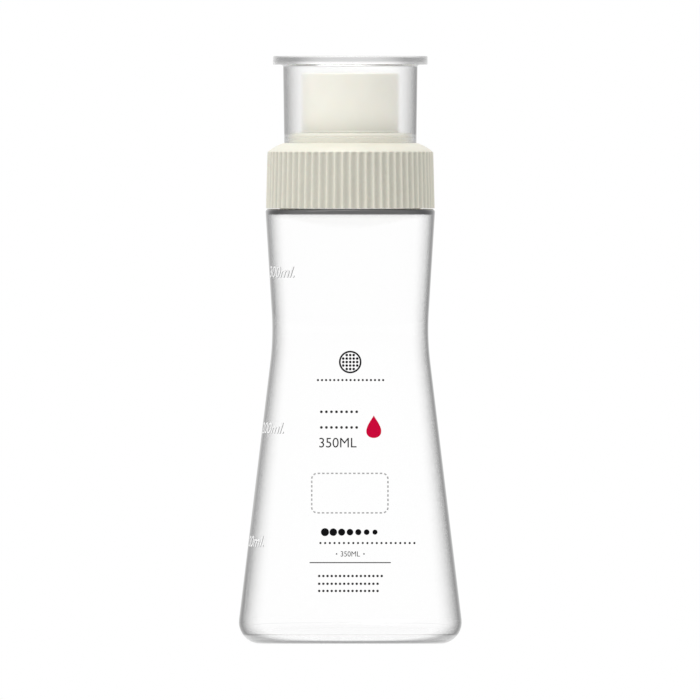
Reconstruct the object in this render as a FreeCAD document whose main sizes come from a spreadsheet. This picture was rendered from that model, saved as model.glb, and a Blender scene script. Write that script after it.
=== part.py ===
import FreeCAD, Part
import Sketcher
import math
import os

# Spice shaker bottle: a waisted clear bottle with a ribbed screw collar, a sieve spout that the
# collar carries, and a clear lift-off cap. Millimetres, +Z up, origin at the middle of the foot.

SIZES = {
    # Bottle: waisted wall, drawn as two leaning lines joined by an arc at the waist
    "waist_radius": 25.1,
    "waist_height": 101.2,
    "waist_arc_radius": 90.0,
    "lower_lean": 6.94,
    "upper_lean": 3.53,
    "wall_thickness": 1.2,
    "shoulder_height": 139.85,
    "shoulder_thickness": 1.6,
    "shoulder_rounding": 1.0,
    "inner_shoulder_rounding": 1.2,
    # Bottle: foot, with a shallow push-up that leaves a standing ring
    "standing_ring_width": 3.35,
    "foot_rounding": 7.0,
    "push_up_height": 1.6,
    "floor_thickness": 2.0,
    "inner_floor_rounding": 5.5,
    # Neck and its screw thread
    "neck_radius": 22.4,
    "neck_wall": 2.0,
    "neck_rim_drop": 2.4,
    "neck_rounding": 0.5,
    "neck_thread_rise": 4.75,
    "thread_pitch": 4.0,
    "thread_turns": 0.96,
    "thread_height": 1.15,
    "thread_root_width": 2.2,
    "thread_crest_width": 1.0,
    "thread_embed": 0.3,
    "thread_flank_gap": 0.15,
    "thread_crest_gap": 0.35,
    # Screw collar: ribbed skirt, domed shoulder, seat for the cap and the boss inside it
    "collar_gap": 0.15,
    "skirt_foot_wall": 3.25,
    "skirt_head_wall": 2.8,
    "skirt_height": 18.0,
    "collar_shoulder_width": 5.3,
    "collar_shoulder_height": 3.0,
    "collar_shoulder_arc": 12.0,
    "cap_seat_margin": 0.15,
    "boss_height": 3.2,
    "boss_rounding": 0.7,
    "boss_wall": 1.9,
    "boss_roof": 1.75,
    "collar_edge_rounding": 0.4,
    "rib_count": 66,
    "flute_depth": 0.45,
    "flute_radius": 1.3,
    # Sieve spout: plug in the neck, flange under the collar, hub, tube and mesh seat
    "running_gap": 0.05,
    "plug_gap": 0.2,
    "plug_length": 2.0,
    "plug_wall": 1.5,
    "funnel_rise": 1.0,
    "flange_inset": 0.8,
    "flange_thickness": 1.3,
    "hub_gap": 0.15,
    "hub_step": 2.35,
    "tube_gap": 0.15,
    "tube_wall": 1.95,
    "tube_length": 22.5,
    "snap_bead_depth": 0.15,
    "snap_bead_height": 0.7,
    "tube_rounding": 0.35,
    "mesh_seat_lip": 0.85,
    # Neck gasket
    "gasket_thickness": 1.2,
    "gasket_edge_gap": 0.1,
    # Sieve mesh and the ring that holds it down
    "ring_edge_gap": 0.05,
    "mesh_edge_gap": 0.1,
    "mesh_thickness": 0.4,
    "mesh_rim_width": 1.6,
    "mesh_pitch": 1.4,
    "mesh_hole": 1.0,
    "ring_width": 1.45,
    "ring_height": 1.0,
    "ring_bevel": 0.3,
    "ring_set_back": 0.1,
    # Clear cap: a cup turned upside down, with a wide flange for a top
    "cap_wall": 1.1,
    "cap_draft": 0.35,
    "cap_land_step": 0.15,
    "cap_land_height": 1.8,
    "cap_headroom": 3.4,
    "cap_flange_width": 3.25,
    "cap_flange_thickness": 2.75,
    "cap_roof": 2.1,
    "cap_flange_rounding": 0.6,
    "cap_throat_rounding": 0.8,
    "cap_inner_rounding": 1.2,
    # How far cutting outlines run past the face they open
    "cut_margin": 1.0,
}


class Size:
    """A length or an angle, with the sheet expression that gives it."""

    def __init__(self, value, formula):
        self.value = value
        self.formula = formula

    def combine(self, sign, value, other):
        return Size(value, "(%s %s %s)" % (self.formula, sign, other.formula))

    def __add__(self, other):
        other = as_size(other)
        return self.combine("+", self.value + other.value, other)

    def __sub__(self, other):
        other = as_size(other)
        return self.combine("-", self.value - other.value, other)

    def __mul__(self, other):
        other = as_size(other)
        return self.combine("*", self.value * other.value, other)

    def __truediv__(self, other):
        other = as_size(other)
        return self.combine("/", self.value / other.value, other)


def as_size(number):
    if isinstance(number, Size):
        return number
    return Size(float(number), repr(float(number)))


def size(name):
    return Size(float(SIZES[name]), "Sizes." + name)


def sine(angle):
    return Size(math.sin(math.radians(angle.value)), "sin(%s)" % angle.formula)


def cosine(angle):
    return Size(math.cos(math.radians(angle.value)), "cos(%s)" % angle.formula)


def tangent(angle):
    return sine(angle) / cosine(angle)


# The two ends of a sketch line, and its centre, as constraints number them
START, END, CENTRE = 1, 2, 3

doc = FreeCAD.newDocument("SpiceShakerBottle")


def fill_sheet():
    """One row per driving dimension: its name, and its number under an alias."""
    sheet = doc.addObject("Spreadsheet::Sheet", "Sizes")
    for row, (name, number) in enumerate(SIZES.items(), start=1):
        sheet.set("A%d" % row, name)
        sheet.set("B%d" % row, str(number))
        sheet.setAlias("B%d" % row, name)
    doc.recompute()


fill_sheet()

# Heights and radii that more than one piece uses
NOTHING = Size(0.0, "0")
margin = size("cut_margin")
neck_inner_radius = size("neck_radius") - size("neck_wall")
collar_bottom = size("shoulder_height") + size("collar_gap")
skirt_top = collar_bottom + size("skirt_height")
cap_seat = skirt_top + size("collar_shoulder_height")
boss_top = cap_seat + size("boss_height")
neck_top = skirt_top - size("neck_rim_drop")
flange_bottom = neck_top + size("gasket_thickness")
flange_top = flange_bottom + size("flange_thickness")
collar_ceiling = flange_top + size("running_gap")
hub_ceiling = boss_top - size("boss_roof")
thread_crest_radius = size("neck_radius") + size("thread_height")
collar_bore_radius = thread_crest_radius + size("thread_crest_gap")
collar_crest_radius = size("neck_radius") + size("thread_crest_gap")
neck_thread_middle = size("shoulder_height") + size("neck_thread_rise")
skirt_head_radius = collar_bore_radius + size("skirt_head_wall")
cap_seat_radius = skirt_head_radius - size("collar_shoulder_width")
cap_base_radius = cap_seat_radius - size("cap_seat_margin")
cap_land_radius = cap_base_radius - size("cap_wall") - size("cap_land_step")
boss_radius = cap_land_radius - size("running_gap")
hub_radius = boss_radius - size("boss_wall") - size("hub_gap")
tube_radius = hub_radius - size("hub_step")
collar_hole_radius = tube_radius + size("tube_gap")
plug_radius = neck_inner_radius - size("plug_gap")
spout_top = cap_seat + size("tube_length")
mesh_seat_radius = tube_radius - size("mesh_seat_lip")
mesh_top = spout_top - size("ring_set_back") - size("ring_height")
mesh_seat = mesh_top - size("mesh_thickness")


def new_body(label):
    body = doc.addObject("PartDesign::Body", label)
    body.Label = label
    return body


def origin_part(body, role):
    """The body's own origin plane or axis with this role."""
    return [part for part in body.Origin.OriginFeatures if part.Role == role][0]


def new_sketch(body, name, plane):
    sketch = body.newObject("Sketcher::SketchObject", name)
    sketch.AttachmentSupport = [(origin_part(body, plane), "")]
    sketch.MapMode = "FlatFace"
    return sketch


def tie(sketch, constraint, amount):
    """Add a constraint whose value comes from the sheet."""
    index = sketch.addConstraint(constraint)
    sketch.setExpression("Constraints[%d]" % index, amount.formula)


def place_point(sketch, side, end, across, up):
    """Fix one end of a sketch line by its two distances from the origin."""
    if across.value == 0.0:
        sketch.addConstraint(Sketcher.Constraint("PointOnObject", side, end, -2))
    else:
        tie(sketch, Sketcher.Constraint("DistanceX", -1, 1, side, end, across.value), across)
    if up.value == 0.0:
        sketch.addConstraint(Sketcher.Constraint("PointOnObject", side, end, -1))
    else:
        tie(sketch, Sketcher.Constraint("DistanceY", -1, 1, side, end, up.value), up)


def arc_between(start, finish, radius, turn):
    """The short arc from start to finish; turn is 1 anticlockwise, -1 clockwise."""
    chord = finish - start
    left = FreeCAD.Vector(-chord.y, chord.x, 0).normalize()
    rise = math.sqrt(radius ** 2 - (chord.Length / 2) ** 2)
    centre = start + chord * 0.5 + left * (rise * turn)
    first, last = (start, finish) if turn > 0 else (finish, start)
    first_angle = math.atan2(first.y - centre.y, first.x - centre.x)
    last_angle = math.atan2(last.y - centre.y, last.x - centre.x)
    circle = Part.Circle(centre, FreeCAD.Vector(0, 0, 1), radius)
    return Part.ArcOfCircle(circle, first_angle, last_angle)


def half_section(body, name, corners, arcs=None):
    """A closed outline of (radius, height) corners in the body's XZ plane.

    arcs maps the number of a side to (radius, turn) where that side is an arc.
    """
    arcs = arcs or {}
    sketch = new_sketch(body, name, "XZ_Plane")
    points = [FreeCAD.Vector(radius.value, height.value, 0) for radius, height in corners]
    count = len(points)
    ends = []
    for side, point in enumerate(points):
        following = points[(side + 1) % count]
        if side in arcs:
            radius, turn = arcs[side]
            sketch.addGeometry(arc_between(point, following, radius.value, turn))
        else:
            turn = 1
            sketch.addGeometry(Part.LineSegment(point, following))
        ends.append((START, END) if turn > 0 else (END, START))
    for side in range(count):
        after = (side + 1) % count
        meeting = Sketcher.Constraint("Coincident", side, ends[side][1], after, ends[after][0])
        sketch.addConstraint(meeting)
    for side, (radius, height) in enumerate(corners):
        place_point(sketch, side, ends[side][0], radius, height)
    for side, (radius, turn) in arcs.items():
        tie(sketch, Sketcher.Constraint("Radius", side, radius.value), radius)
    doc.recompute()
    return sketch


def turn_solid(body, sketch, name):
    solid = body.newObject("PartDesign::Revolution", name)
    solid.Profile = sketch
    solid.ReferenceAxis = (sketch, ["V_Axis"])
    solid.Angle = 360
    doc.recompute()
    return solid


def turn_cut(body, sketch, name):
    before = body.Shape.Volume
    cut = body.newObject("PartDesign::Groove", name)
    cut.Profile = sketch
    cut.ReferenceAxis = (sketch, ["V_Axis"])
    cut.Angle = 360
    doc.recompute()
    if body.Shape.Volume >= before:
        raise RuntimeError(name + " removes nothing")
    return cut


def dress_rims(body, base, name, kind, amount, rims):
    """Fillet or chamfer the circular edges of base that lie at these (radius, height) pairs."""
    names = []
    for radius, height in rims:
        for number, edge in enumerate(base.Shape.Edges, start=1):
            if edge.Degenerated or not isinstance(edge.Curve, Part.Circle):
                continue
            off_radius = abs(edge.Curve.Radius - radius.value)
            off_height = abs(edge.Curve.Center.z - height.value)
            if off_radius < 1e-4 and off_height < 1e-4:
                names.append("Edge%d" % number)
    if len(names) < len(rims):
        raise RuntimeError(name + " misses an edge")
    dressing = body.newObject("PartDesign::" + kind, name)
    dressing.Base = (base, names)
    dressing.setExpression("Radius" if kind == "Fillet" else "Size", amount.formula)
    doc.recompute()
    return dressing


def thread_ridge(body, name, foot_radius, crest_radius, middle):
    """One start of right-hand thread: a ridge whose section narrows from foot to crest."""
    half_root = size("thread_root_width") / 2
    half_crest = size("thread_crest_width") / 2
    section = half_section(body, name + "_section", [
        (foot_radius, middle - half_root),
        (crest_radius, middle - half_crest),
        (crest_radius, middle + half_crest),
        (foot_radius, middle + half_root),
    ])
    ridge = body.newObject("PartDesign::AdditiveHelix", name)
    ridge.Profile = section
    ridge.ReferenceAxis = (section, ["V_Axis"])
    ridge.Mode = "pitch-turns-angle"
    ridge.setExpression("Pitch", "Sizes.thread_pitch")
    ridge.setExpression("Turns", "Sizes.thread_turns")
    doc.recompute()
    return ridge


def waist(inward):
    """Where the wall's leaning lines meet its waist arc, on the face this far inside it."""
    arc = size("waist_arc_radius") + inward
    middle = size("waist_radius") - inward + arc
    lower = (middle - arc * cosine(size("lower_lean")),
             size("waist_height") - arc * sine(size("lower_lean")))
    upper = (middle - arc * cosine(size("upper_lean")),
             size("waist_height") + arc * sine(size("upper_lean")))
    return arc, lower, upper


def below(point, height):
    """The radius of the lower leaning line at a height."""
    return point[0] + (point[1] - height) * tangent(size("lower_lean"))


def above(point, height):
    """The radius of the upper leaning line at a height."""
    return point[0] + (height - point[1]) * tangent(size("upper_lean"))


def foot_corner(point, floor, rounding):
    """Where an arc of this radius meets the floor, and where it meets the lower leaning line."""
    lean = size("lower_lean")
    centre = below(point, floor + rounding) - rounding / cosine(lean)
    on_floor = (centre, floor)
    on_wall = (centre + rounding * cosine(lean), floor + rounding + rounding * sine(lean))
    return on_floor, on_wall


def make_bottle_body():
    """Clear bottle: solid turned first, then its inside, then the thread on its neck."""
    body = new_body("bottle_body")
    rise = size("push_up_height")
    shoulder = size("shoulder_height")
    arc, lower, upper = waist(NOTHING)
    foot_start, foot_end = foot_corner(lower, NOTHING, size("foot_rounding"))
    foot = foot_start[0] - size("standing_ring_width")
    dome = (foot * foot + rise * rise) / (rise * 2)
    shoulder_edge = above(upper, shoulder)
    outline = half_section(body, "bottle_outline", [
        (NOTHING, rise),
        (foot, NOTHING),
        foot_start,
        foot_end,
        lower,
        upper,
        (shoulder_edge, shoulder),
        (size("neck_radius"), shoulder),
        (size("neck_radius"), neck_top),
        (NOTHING, neck_top),
    ], {0: (dome, -1), 2: (size("foot_rounding"), 1), 4: (arc, -1)})
    solid = turn_solid(body, outline, "bottle_solid")
    dress_rims(body, solid, "shoulder_edge", "Fillet", size("shoulder_rounding"),
               [(shoulder_edge, shoulder)])

    floor = size("floor_thickness")
    roof = shoulder - size("shoulder_thickness")
    inner_arc, inner_lower, inner_upper = waist(size("wall_thickness"))
    floor_start, floor_end = foot_corner(inner_lower, floor, size("inner_floor_rounding"))
    roof_edge = above(inner_upper, roof)
    inside = half_section(body, "bottle_inside", [
        (NOTHING, rise + floor),
        (foot, floor),
        floor_start,
        floor_end,
        inner_lower,
        inner_upper,
        (roof_edge, roof),
        (neck_inner_radius, roof),
        (neck_inner_radius, neck_top + margin),
        (NOTHING, neck_top + margin),
    ], {0: (dome, -1), 2: (size("inner_floor_rounding"), 1), 4: (inner_arc, -1)})
    hollow = turn_cut(body, inside, "bottle_hollow")
    hollow = dress_rims(body, hollow, "roof_rounding", "Fillet", size("inner_shoulder_rounding"),
                        [(roof_edge, roof)])
    dress_rims(body, hollow, "neck_rim_rounding", "Fillet", size("neck_rounding"), [
        (size("neck_radius"), neck_top),
        (neck_inner_radius, neck_top),
    ])
    thread_ridge(body, "neck_thread", size("neck_radius") - size("thread_embed"),
                 thread_crest_radius, neck_thread_middle)
    return body


def make_screw_collar():
    """Ribbed collar: section turned, flutes cut round it, thread inside its skirt."""
    body = new_body("screw_collar")
    skirt_foot_radius = collar_bore_radius + size("skirt_foot_wall")
    hub_recess_radius = hub_radius + size("hub_gap")
    section = half_section(body, "collar_section", [
        (collar_bore_radius, collar_bottom),
        (skirt_foot_radius, collar_bottom),
        (skirt_head_radius, skirt_top),
        (cap_seat_radius, cap_seat),
        (boss_radius, cap_seat),
        (boss_radius, boss_top),
        (collar_hole_radius, boss_top),
        (collar_hole_radius, hub_ceiling),
        (hub_recess_radius, hub_ceiling),
        (hub_recess_radius, collar_ceiling),
        (collar_bore_radius, collar_ceiling),
    ], {2: (size("collar_shoulder_arc"), 1)})
    solid = turn_solid(body, section, "collar_solid")
    solid = dress_rims(body, solid, "boss_edge", "Fillet", size("boss_rounding"),
                       [(boss_radius, boss_top)])
    dress_rims(body, solid, "collar_edges", "Fillet", size("collar_edge_rounding"), [
        (skirt_head_radius, skirt_top),
        (cap_seat_radius, cap_seat),
        (collar_bore_radius, collar_bottom),
    ])

    # A flute is a round groove that leans with the skirt, from below it to past its top
    lean = (skirt_foot_radius - skirt_head_radius) / size("skirt_height")
    outward = size("flute_radius") - size("flute_depth")
    ends = []
    for name, height in (("flute_foot", collar_bottom - margin), ("flute_head", skirt_top + margin)):
        sketch = new_sketch(body, name, "XY_Plane")
        sketch.setExpression(".AttachmentOffset.Base.z", height.formula)
        across = skirt_foot_radius - lean * (height - collar_bottom) + outward
        centre = FreeCAD.Vector(across.value, 0, 0)
        circle = Part.Circle(centre, FreeCAD.Vector(0, 0, 1), SIZES["flute_radius"])
        sketch.addGeometry(circle)
        place_point(sketch, 0, CENTRE, across, NOTHING)
        tie(sketch, Sketcher.Constraint("Radius", 0, SIZES["flute_radius"]), size("flute_radius"))
        ends.append(sketch)
    doc.recompute()
    before = body.Shape.Volume
    flute = body.newObject("PartDesign::SubtractiveLoft", "flute")
    flute.Profile = ends[0]
    flute.Sections = [ends[1]]
    flute.Ruled = True
    doc.recompute()
    flutes = body.newObject("PartDesign::PolarPattern", "flutes")
    flutes.Originals = [flute]
    flutes.Axis = (origin_part(body, "Z_Axis"), [""])
    flutes.Angle = 360
    flutes.setExpression("Occurrences", "Sizes.rib_count")
    body.Tip = flutes
    doc.recompute()
    if body.Shape.Volume >= before:
        raise RuntimeError("the flutes remove nothing")

    # The ridge sits under the neck's, so that turning the collar down pulls it against it
    taper = (size("thread_root_width") - size("thread_crest_width")) / 2
    reach = size("thread_height") + size("thread_embed")
    shared = size("thread_height") - size("thread_crest_gap")
    width = size("thread_crest_width") + taper * shared / reach
    middle = neck_thread_middle - width - size("thread_flank_gap")
    thread_ridge(body, "collar_thread", collar_bore_radius + size("thread_embed"),
                 collar_crest_radius, middle)
    return body


def make_sieve_spout():
    """Spout: plug, flange, hub and tube in one turned piece, with a seat for the mesh."""
    body = new_body("sieve_spout")
    plug_bottom = neck_top - size("plug_length")
    flange_radius = size("neck_radius") - size("flange_inset")
    hub_top = hub_ceiling - size("running_gap")
    bead_radius = collar_hole_radius + size("snap_bead_depth")
    bead_bottom = boss_top + size("running_gap")
    bead_top = bead_bottom + size("snap_bead_height")
    bead_middle = bead_bottom + size("snap_bead_height") / 2
    bore = tube_radius - size("tube_wall")
    section = half_section(body, "spout_section", [
        (plug_radius - size("plug_wall"), plug_bottom),
        (plug_radius, plug_bottom),
        (plug_radius, flange_bottom),
        (flange_radius, flange_bottom),
        (flange_radius, flange_top),
        (hub_radius, flange_top),
        (hub_radius, hub_top),
        (tube_radius, hub_top),
        (tube_radius, bead_bottom),
        (bead_radius, bead_bottom),
        (bead_radius, bead_middle),
        (tube_radius, bead_top),
        (tube_radius, spout_top),
        (mesh_seat_radius, spout_top),
        (mesh_seat_radius, mesh_seat),
        (bore, mesh_seat),
        (bore, flange_top + size("funnel_rise")),
    ])
    solid = turn_solid(body, section, "spout_solid")
    dress_rims(body, solid, "tube_edge", "Fillet", size("tube_rounding"),
               [(tube_radius, spout_top)])
    return body


def make_neck_gasket():
    """Flat soft ring between the neck's rim and the spout's flange."""
    body = new_body("neck_gasket")
    outer = size("neck_radius") - size("gasket_edge_gap")
    inner = plug_radius + size("gasket_edge_gap")
    section = half_section(body, "gasket_section", [
        (inner, neck_top),
        (outer, neck_top),
        (outer, flange_bottom),
        (inner, flange_bottom),
    ])
    turn_solid(body, section, "gasket_solid")
    return body


def make_sieve_mesh():
    """Steel mesh disc: a plain rim round a grid of square holes, as one holed face."""
    radius = mesh_seat_radius.value - SIZES["mesh_edge_gap"]
    open_radius = radius - SIZES["mesh_rim_width"]
    pitch = SIZES["mesh_pitch"]
    half_hole = SIZES["mesh_hole"] / 2
    up = FreeCAD.Vector(0, 0, 1)
    holes = []
    reach = int(open_radius / pitch) + 1
    for column in range(-reach, reach + 1):
        for row in range(-reach, reach + 1):
            x = column * pitch
            y = row * pitch
            if math.hypot(abs(x) + half_hole, abs(y) + half_hole) > open_radius:
                continue
            corners = [FreeCAD.Vector(x + dx * half_hole, y + dy * half_hole, 0)
                       for dx, dy in ((-1, -1), (1, -1), (1, 1), (-1, 1), (-1, -1))]
            holes.append(Part.makePolygon(corners))
    rim = Part.Wire(Part.makeCircle(radius, FreeCAD.Vector(), up))
    face = Part.Face([rim] + holes)
    face.validate()
    print("sieve mesh gaps:", len(holes))
    mesh = doc.addObject("Part::Feature", "sieve_mesh")
    mesh.Label = "sieve_mesh"
    mesh.Shape = face.extrude(up * SIZES["mesh_thickness"])
    mesh.Placement = FreeCAD.Placement(up * mesh_seat.value, FreeCAD.Rotation())
    return mesh


def make_mesh_ring():
    """Ring pressed in over the mesh, bevelled towards the pouring opening."""
    body = new_body("mesh_ring")
    outer = mesh_seat_radius - size("ring_edge_gap")
    inner = outer - size("ring_width")
    top = mesh_top + size("ring_height")
    section = half_section(body, "ring_section", [
        (inner, mesh_top),
        (outer, mesh_top),
        (outer, top),
        (inner, top),
    ])
    ring = turn_solid(body, section, "ring_solid")
    dress_rims(body, ring, "ring_bevel_edge", "Chamfer", size("ring_bevel"), [(inner, top)])
    return body


def make_dust_cap():
    """Clear cap: thin wall with a gripping land at its mouth and a flanged roof."""
    body = new_body("dust_cap")
    throat = cap_base_radius + size("cap_draft")
    flange = throat + size("cap_flange_width")
    ceiling = spout_top + size("cap_headroom")
    top = ceiling + size("cap_roof")
    flange_under = top - size("cap_flange_thickness")
    land_top = cap_seat + size("cap_land_height")
    section = half_section(body, "cap_section", [
        (cap_land_radius, cap_seat),
        (cap_base_radius, cap_seat),
        (throat, flange_under),
        (flange, flange_under),
        (flange, top),
        (NOTHING, top),
        (NOTHING, ceiling),
        (throat - size("cap_wall"), ceiling),
        (cap_base_radius - size("cap_wall"), land_top + size("cap_land_step")),
        (cap_land_radius, land_top),
    ])
    solid = turn_solid(body, section, "cap_solid")
    solid = dress_rims(body, solid, "cap_flange_edges", "Fillet", size("cap_flange_rounding"),
                       [(flange, flange_under), (flange, top)])
    solid = dress_rims(body, solid, "cap_throat_edge", "Fillet", size("cap_throat_rounding"),
                       [(throat, flange_under)])
    dress_rims(body, solid, "cap_inner_edge", "Fillet", size("cap_inner_rounding"),
               [(throat - size("cap_wall"), ceiling)])
    return body


def write_parts(pieces):
    """Check the whole document, then write one STEP file per piece."""
    doc.recompute()
    for thing in doc.Objects:
        for state in thing.State:
            if state in ("Invalid", "Error"):
                raise RuntimeError("%s is %s" % (thing.Name, state))
    for piece in pieces:
        shape = piece.Shape
        if shape.isNull() or not shape.isValid() or len(shape.Solids) != 1:
            raise RuntimeError(piece.Label + " is not one valid solid")
    os.makedirs("parts", exist_ok=True)
    for piece in pieces:
        piece.Shape.exportStep("parts/%s.step" % piece.Label)
        print("%-14s %10.1f mm3" % (piece.Label, piece.Shape.Volume))


write_parts([
    make_bottle_body(),
    make_screw_collar(),
    make_sieve_spout(),
    make_neck_gasket(),
    make_sieve_mesh(),
    make_mesh_ring(),
    make_dust_cap(),
])
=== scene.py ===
"""Looks of a clear spice shaker bottle: ribbed screw collar, sieve spout and lift-off cap.

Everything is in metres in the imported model's frame: +Z up the bottle's axis, printed front facing -Y.
"""

import math

import bmesh
import bpy
from bpy.props import FloatProperty, FloatVectorProperty, IntProperty, PointerProperty
from bpy.types import Operator, Panel, PropertyGroup
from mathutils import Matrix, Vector


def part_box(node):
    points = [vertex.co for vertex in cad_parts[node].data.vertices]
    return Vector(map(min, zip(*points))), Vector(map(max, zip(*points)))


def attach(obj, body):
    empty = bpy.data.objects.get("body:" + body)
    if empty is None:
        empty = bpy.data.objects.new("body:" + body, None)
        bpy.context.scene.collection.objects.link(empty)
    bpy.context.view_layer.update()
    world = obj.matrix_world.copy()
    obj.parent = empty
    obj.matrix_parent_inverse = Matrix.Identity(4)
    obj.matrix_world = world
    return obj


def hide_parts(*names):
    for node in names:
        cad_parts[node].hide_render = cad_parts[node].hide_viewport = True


bl_info = {
    "name": "Spice Shaker Bottle",
    "version": (1, 0, 0),
    "blender": (4, 5, 0),
    "location": "3D View > Sidebar > Shaker",
    "description": "Builds the looks of a clear spice shaker bottle over its packed model",
    "category": "Object",
}

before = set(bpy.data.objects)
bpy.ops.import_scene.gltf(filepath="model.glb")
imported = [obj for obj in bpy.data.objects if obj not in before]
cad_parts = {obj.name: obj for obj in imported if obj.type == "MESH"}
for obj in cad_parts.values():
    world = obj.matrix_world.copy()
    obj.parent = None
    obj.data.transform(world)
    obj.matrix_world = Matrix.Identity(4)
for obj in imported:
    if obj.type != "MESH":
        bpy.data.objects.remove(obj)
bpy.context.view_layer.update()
BOTTLE_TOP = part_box("bottle_body")[1].z
COLLAR_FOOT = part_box("screw_collar")[0].z
COLLAR_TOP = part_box("screw_collar")[1].z
SPOUT_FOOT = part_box("sieve_spout")[0].z
SPOUT_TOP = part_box("sieve_spout")[1].z
SIEVE_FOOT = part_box("sieve_mesh")[0].z
CAP_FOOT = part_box("dust_cap")[0].z
CAP_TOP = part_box("dust_cap")[1].z

# How an outside face of clear plastic darkens as it turns edge-on: painted shade in the plastic's colour, standing
# in for the darker surroundings that real clear walls refract and mirror near their edges. The bands below paint
# the
# shade of single zones: the shoulder, floor and foot, and the cap's flange and foot. Each gives the slants where
# the change starts and ends (0 face-on, 1 edge-on), and how much light it lets through before and after
WALL_SHADING = (0.36, 0.78, 1.0, 0.0)
SHOULDER_SHADING = (0.2, 0.6, 0.11, 0.0)
UNDER_SHOULDER_SHADING = (0.36, 0.78, 0.84, 0.0)
FOOT_SHADING = (0.28, 0.6, 1.0, 0.08)
UNDER_FLOOR_SHADING = (0.42, 0.64, 1.0, 0.19)
FLOOR_LINE_SHADING = (0.3, 0.66, 0.72, 0.0)
CAP_SHADING = (0.16, 0.80, 1.0, 0.0)
FLANGE_SHADING = (0.0, 0.32, 0.66, 0.22)
FLANGE_FOOT_SHADING = (0.08, 0.36, 1.0, 0.25)
FLANGE_TOP_SHADING = (0.3, 0.8, 1.0, 0.15)
CAP_FOOT_SHADING = (0.3, 0.84, 1.0, 0.03)


def distance(name, description, default):
    """A length in metres."""
    return FloatProperty(name=name, description=description, default=default, min=0.0,
                         subtype="DISTANCE", unit="LENGTH", precision=5)


def lean(name, description, degrees):
    """An angle given in degrees and kept in radians."""
    return FloatProperty(name=name, description=description, default=math.radians(degrees),
                         subtype="ANGLE", unit="ROTATION")


def share(name, description, default):
    """A plain number from 0 to 1."""
    return FloatProperty(name=name, description=description, default=default, min=0.0, max=1.0)


def tone(name, description, default):
    """A linear colour."""
    return FloatVectorProperty(name=name, description=description, default=default, size=3,
                               min=0.0, max=1.0, subtype="COLOR")


class BottleSizes(PropertyGroup):
    """Sizes of the clear bottle."""

    waist_radius: distance("Waist radius", "Outside radius at the narrowest point", 0.0251)
    waist_height: distance("Waist height", "Height of the narrowest point", 0.1012)
    waist_arc: distance("Waist arc", "Radius of the arc that joins the two leaning walls", 0.09)
    lower_lean: lean("Lower lean", "Lean of the wall below the waist", 6.94)
    upper_lean: lean("Upper lean", "Lean of the wall above the waist", 3.53)
    wall: distance("Wall", "Thickness of the wall", 0.0012)
    foot_rounding: distance("Foot rounding", "Outside rounding at the foot", 0.007)
    floor_rounding: distance("Floor rounding", "Inside rounding at the floor", 0.0055)
    ring_width: distance("Standing ring", "Width of the flat ring that the bottle stands on", 0.00335)
    push_up: distance("Push-up", "Height of the shallow dome under the floor", 0.0009)
    floor: distance("Floor", "Thickness of the floor", 0.002)
    shoulder_height: distance("Shoulder height", "Height of the flat shoulder", 0.13985)
    shoulder: distance("Shoulder", "Thickness of the shoulder", 0.0016)
    shoulder_rounding: distance("Shoulder rounding", "Outside rounding of the shoulder", 0.001)
    neck_radius: distance("Neck radius", "Outside radius of the neck", 0.0224)
    neck_wall: distance("Neck wall", "Thickness of the neck", 0.002)
    neck_top: distance("Neck top", "Height of the neck's rim", BOTTLE_TOP)
    thread_middle: distance("Thread middle", "Height where the neck's thread starts", 0.1446)


class CollarSizes(PropertyGroup):
    """Sizes of the ribbed screw collar."""

    foot: distance("Foot", "Height of the collar's lower edge", COLLAR_FOOT)
    top: distance("Top", "Height of the boss inside the cap", COLLAR_TOP)
    bore: distance("Bore", "Inside radius of the skirt", 0.0239)
    foot_radius: distance("Foot radius", "Outside radius at the lower edge", 0.02715)
    head_radius: distance("Head radius", "Outside radius where the skirt ends", 0.0267)
    skirt: distance("Skirt", "Height of the ribbed skirt", 0.018)
    crown: distance("Crown", "Height of the domed shoulder over the skirt", 0.003)
    crown_arc: distance("Crown arc", "Radius of the domed shoulder's arc", 0.012)
    seat_radius: distance("Seat radius", "Radius where the domed shoulder meets the cap's seat", 0.0214)
    boss_radius: distance("Boss radius", "Radius of the boss that the cap grips", 0.01995)
    boss_rounding: distance("Boss rounding", "Rounding of the boss's upper edge", 0.001)
    hole: distance("Hole", "Radius of the hole for the spout", 0.0157)
    recess: distance("Recess", "Radius of the recess for the spout's hub", 0.01805)
    recess_top: distance("Recess top", "Height of the recess's ceiling", 0.16245)
    ceiling: distance("Ceiling", "Height of the skirt's ceiling", 0.15815)
    rib_count: IntProperty(name="Ribs", description="Grip ribs round the skirt", default=66, min=12)
    groove_depth: distance("Groove depth", "Depth of the grooves between the ribs", 0.0006)
    groove_radius: distance("Groove radius", "Radius of a groove's round floor", 0.0013)
    thread_middle: distance("Thread middle", "Height where the collar's thread starts", 0.14312)


class ThreadSizes(PropertyGroup):
    """Sizes of the one-start thread that joins collar and neck."""

    pitch: distance("Pitch", "Rise in one turn", 0.004)
    turns: share("Turns", "Part of a turn that the ridge covers", 0.96)
    height: distance("Height", "How far the ridge stands out", 0.00115)
    root: distance("Root", "Width of the ridge where it starts", 0.0022)
    crest: distance("Crest", "Width of the ridge's crest", 0.001)


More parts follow.
